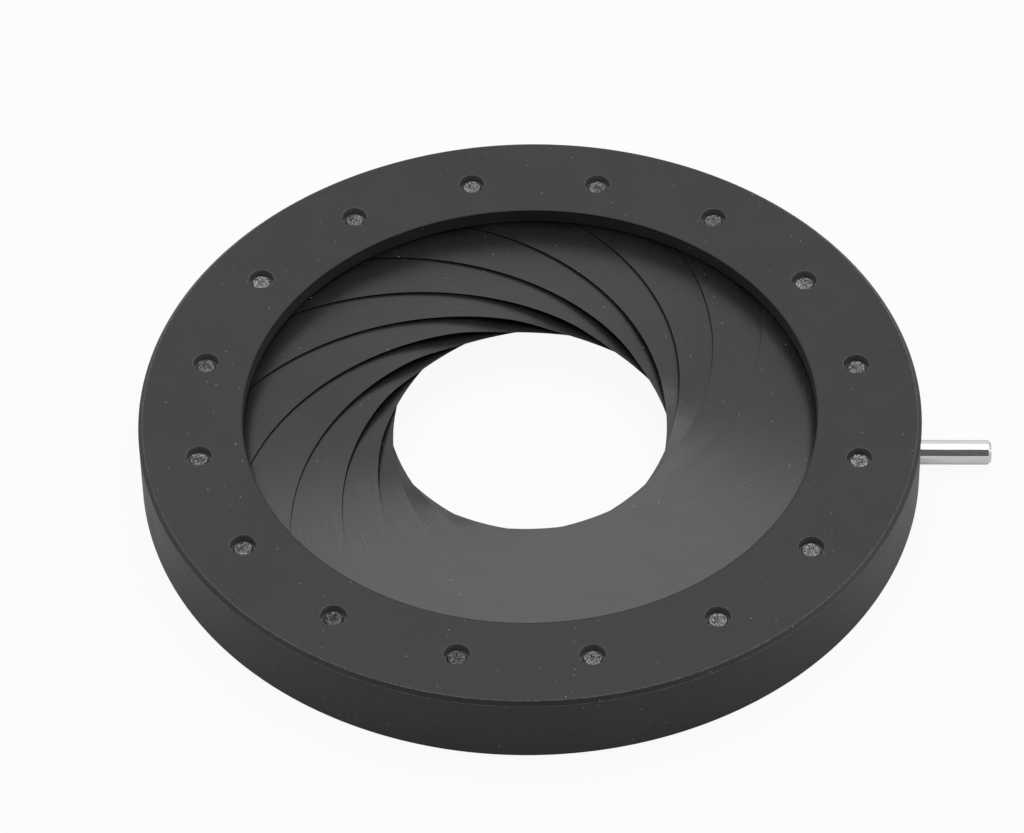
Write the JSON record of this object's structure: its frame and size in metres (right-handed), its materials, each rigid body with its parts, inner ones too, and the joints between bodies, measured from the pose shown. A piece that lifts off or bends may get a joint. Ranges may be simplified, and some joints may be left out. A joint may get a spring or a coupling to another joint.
{
  "type": "iris diaphragm",
  "caption": "Lever-driven iris diaphragm: a thin round black body whose overlapping curved leaves open and close a central light opening as a steel pin swings around the rim.",
  "frame": {"origin": "on the optical axis at the body's mid-thickness", "axes": "+Z out of the front face along the optical axis, +X along the lever pin at rest"},
  "size_m": [0.0655, 0.06, 0.006],
  "materials": {
    "black_body": "matte black anodised",
    "black_ring": "matte black anodised",
    "black_leaf": "blackened spring steel, satin",
    "stud_steel": "bare rough-cut steel end",
    "drive_stud_steel": "bare turned steel",
    "spring_steel": "spring steel",
    "polished_pin": "polished steel"
  },
  "bodies": {
    "housing": {"housing": "black_body", "snap_ring": "spring_steel"},
    "control_ring": {"control_ring": "black_ring", "lever_pin": "polished_pin"},
    "leaf_01": {"leaf_01": "black_leaf", "pivot_stud_01": "stud_steel", "drive_stud_01": "drive_stud_steel"},
    "leaf_02": {"leaf_02": "black_leaf", "pivot_stud_02": "stud_steel", "drive_stud_02": "drive_stud_steel"},
    "leaf_03": {"leaf_03": "black_leaf", "pivot_stud_03": "stud_steel", "drive_stud_03": "drive_stud_steel"},
    "leaf_04": {"leaf_04": "black_leaf", "pivot_stud_04": "stud_steel", "drive_stud_04": "drive_stud_steel"},
    "leaf_05": {"leaf_05": "black_leaf", "pivot_stud_05": "stud_steel", "drive_stud_05": "drive_stud_steel"},
    "leaf_06": {"leaf_06": "black_leaf", "pivot_stud_06": "stud_steel", "drive_stud_06": "drive_stud_steel"},
    "leaf_07": {"leaf_07": "black_leaf", "pivot_stud_07": "stud_steel", "drive_stud_07": "drive_stud_steel"},
    "leaf_08": {"leaf_08": "black_leaf", "pivot_stud_08": "stud_steel", "drive_stud_08": "drive_stud_steel"},
    "leaf_09": {"leaf_09": "black_leaf", "pivot_stud_09": "stud_steel", "drive_stud_09": "drive_stud_steel"},
    "leaf_10": {"leaf_10": "black_leaf", "pivot_stud_10": "stud_steel", "drive_stud_10": "drive_stud_steel"},
    "leaf_11": {"leaf_11": "black_leaf", "pivot_stud_11": "stud_steel", "drive_stud_11": "drive_stud_steel"},
    "leaf_12": {"leaf_12": "black_leaf", "pivot_stud_12": "stud_steel", "drive_stud_12": "drive_stud_steel"},
    "leaf_13": {"leaf_13": "black_leaf", "pivot_stud_13": "stud_steel", "drive_stud_13": "drive_stud_steel"},
    "leaf_14": {"leaf_14": "black_leaf", "pivot_stud_14": "stud_steel", "drive_stud_14": "drive_stud_steel"},
    "leaf_15": {"leaf_15": "black_leaf", "pivot_stud_15": "stud_steel", "drive_stud_15": "drive_stud_steel"},
    "leaf_16": {"leaf_16": "black_leaf", "pivot_stud_16": "stud_steel", "drive_stud_16": "drive_stud_steel"}
  },
  "joints": [
    {"name": "ring_turn", "type": "hinge", "parent": "housing", "child": "control_ring", "pos_m": [0, 0, 0], "axis": [0, 0, 1], "range_deg": [-44.36, 51.25]},
    {"name": "leaf_swing_01", "type": "hinge", "parent": "housing", "child": "leaf_01", "pos_m": [0.02511, 0.00499, 0], "axis": [0, 0, 1], "range_deg": [-22.48, 25.97]},
    {"name": "leaf_swing_02", "type": "hinge", "parent": "housing", "child": "leaf_02", "pos_m": [0.02129, 0.01422, 0], "axis": [0, 0, 1], "range_deg": [-22.48, 25.97]},
    {"name": "leaf_swing_03", "type": "hinge", "parent": "housing", "child": "leaf_03", "pos_m": [0.01422, 0.02129, 0], "axis": [0, 0, 1], "range_deg": [-22.48, 25.97]},
    {"name": "leaf_swing_04", "type": "hinge", "parent": "housing", "child": "leaf_04", "pos_m": [0.00499, 0.02511, 0], "axis": [0, 0, 1], "range_deg": [-22.48, 25.97]},
    {"name": "leaf_swing_05", "type": "hinge", "parent": "housing", "child": "leaf_05", "pos_m": [-0.00499, 0.02511, 0], "axis": [0, 0, 1], "range_deg": [-22.48, 25.97]},
    {"name": "leaf_swing_06", "type": "hinge", "parent": "housing", "child": "leaf_06", "pos_m": [-0.01422, 0.02129, 0], "axis": [0, 0, 1], "range_deg": [-22.48, 25.97]},
    {"name": "leaf_swing_07", "type": "hinge", "parent": "housing", "child": "leaf_07", "pos_m": [-0.02129, 0.01422, 0], "axis": [0, 0, 1], "range_deg": [-22.48, 25.97]},
    {"name": "leaf_swing_08", "type": "hinge", "parent": "housing", "child": "leaf_08", "pos_m": [-0.02511, 0.00499, 0], "axis": [0, 0, 1], "range_deg": [-22.48, 25.97]},
    {"name": "leaf_swing_09", "type": "hinge", "parent": "housing", "child": "leaf_09", "pos_m": [-0.02511, -0.00499, 0], "axis": [0, 0, 1], "range_deg": [-22.48, 25.97]},
    {"name": "leaf_swing_10", "type": "hinge", "parent": "housing", "child": "leaf_10", "pos_m": [-0.02129, -0.01422, 0], "axis": [0, 0, 1], "range_deg": [-22.48, 25.97]},
    {"name": "leaf_swing_11", "type": "hinge", "parent": "housing", "child": "leaf_11", "pos_m": [-0.01422, -0.02129, 0], "axis": [0, 0, 1], "range_deg": [-22.48, 25.97]},
    {"name": "leaf_swing_12", "type": "hinge", "parent": "housing", "child": "leaf_12", "pos_m": [-0.00499, -0.02511, 0], "axis": [0, 0, 1], "range_deg": [-22.48, 25.97]},
    {"name": "leaf_swing_13", "type": "hinge", "parent": "housing", "child": "leaf_13", "pos_m": [0.00499, -0.02511, 0], "axis": [0, 0, 1], "range_deg": [-22.48, 25.97]},
    {"name": "leaf_swing_14", "type": "hinge", "parent": "housing", "child": "leaf_14", "pos_m": [0.01422, -0.02129, 0], "axis": [0, 0, 1], "range_deg": [-22.48, 25.97]},
    {"name": "leaf_swing_15", "type": "hinge", "parent": "housing", "child": "leaf_15", "pos_m": [0.02129, -0.01422, 0], "axis": [0, 0, 1], "range_deg": [-22.48, 25.97]},
    {"name": "leaf_swing_16", "type": "hinge", "parent": "housing", "child": "leaf_16", "pos_m": [0.02511, -0.00499, 0], "axis": [0, 0, 1], "range_deg": [-22.48, 25.97]}
  ],
  "couplings": [
    {"joint": "leaf_swing_01", "follows": "ring_turn", "ratio": 0.50659},
    {"joint": "leaf_swing_02", "follows": "ring_turn", "ratio": 0.50659},
    {"joint": "leaf_swing_03", "follows": "ring_turn", "ratio": 0.50659},
    {"joint": "leaf_swing_04", "follows": "ring_turn", "ratio": 0.50659},
    {"joint": "leaf_swing_05", "follows": "ring_turn", "ratio": 0.50659},
    {"joint": "leaf_swing_06", "follows": "ring_turn", "ratio": 0.50659},
    {"joint": "leaf_swing_07", "follows": "ring_turn", "ratio": 0.50659},
    {"joint": "leaf_swing_08", "follows": "ring_turn", "ratio": 0.50659},
    {"joint": "leaf_swing_09", "follows": "ring_turn", "ratio": 0.50659},
    {"joint": "leaf_swing_10", "follows": "ring_turn", "ratio": 0.50659},
    {"joint": "leaf_swing_11", "follows": "ring_turn", "ratio": 0.50659},
    {"joint": "leaf_swing_12", "follows": "ring_turn", "ratio": 0.50659},
    {"joint": "leaf_swing_13", "follows": "ring_turn", "ratio": 0.50659},
    {"joint": "leaf_swing_14", "follows": "ring_turn", "ratio": 0.50659},
    {"joint": "leaf_swing_15", "follows": "ring_turn", "ratio": 0.50659},
    {"joint": "leaf_swing_16", "follows": "ring_turn", "ratio": 0.50659}
  ]
}
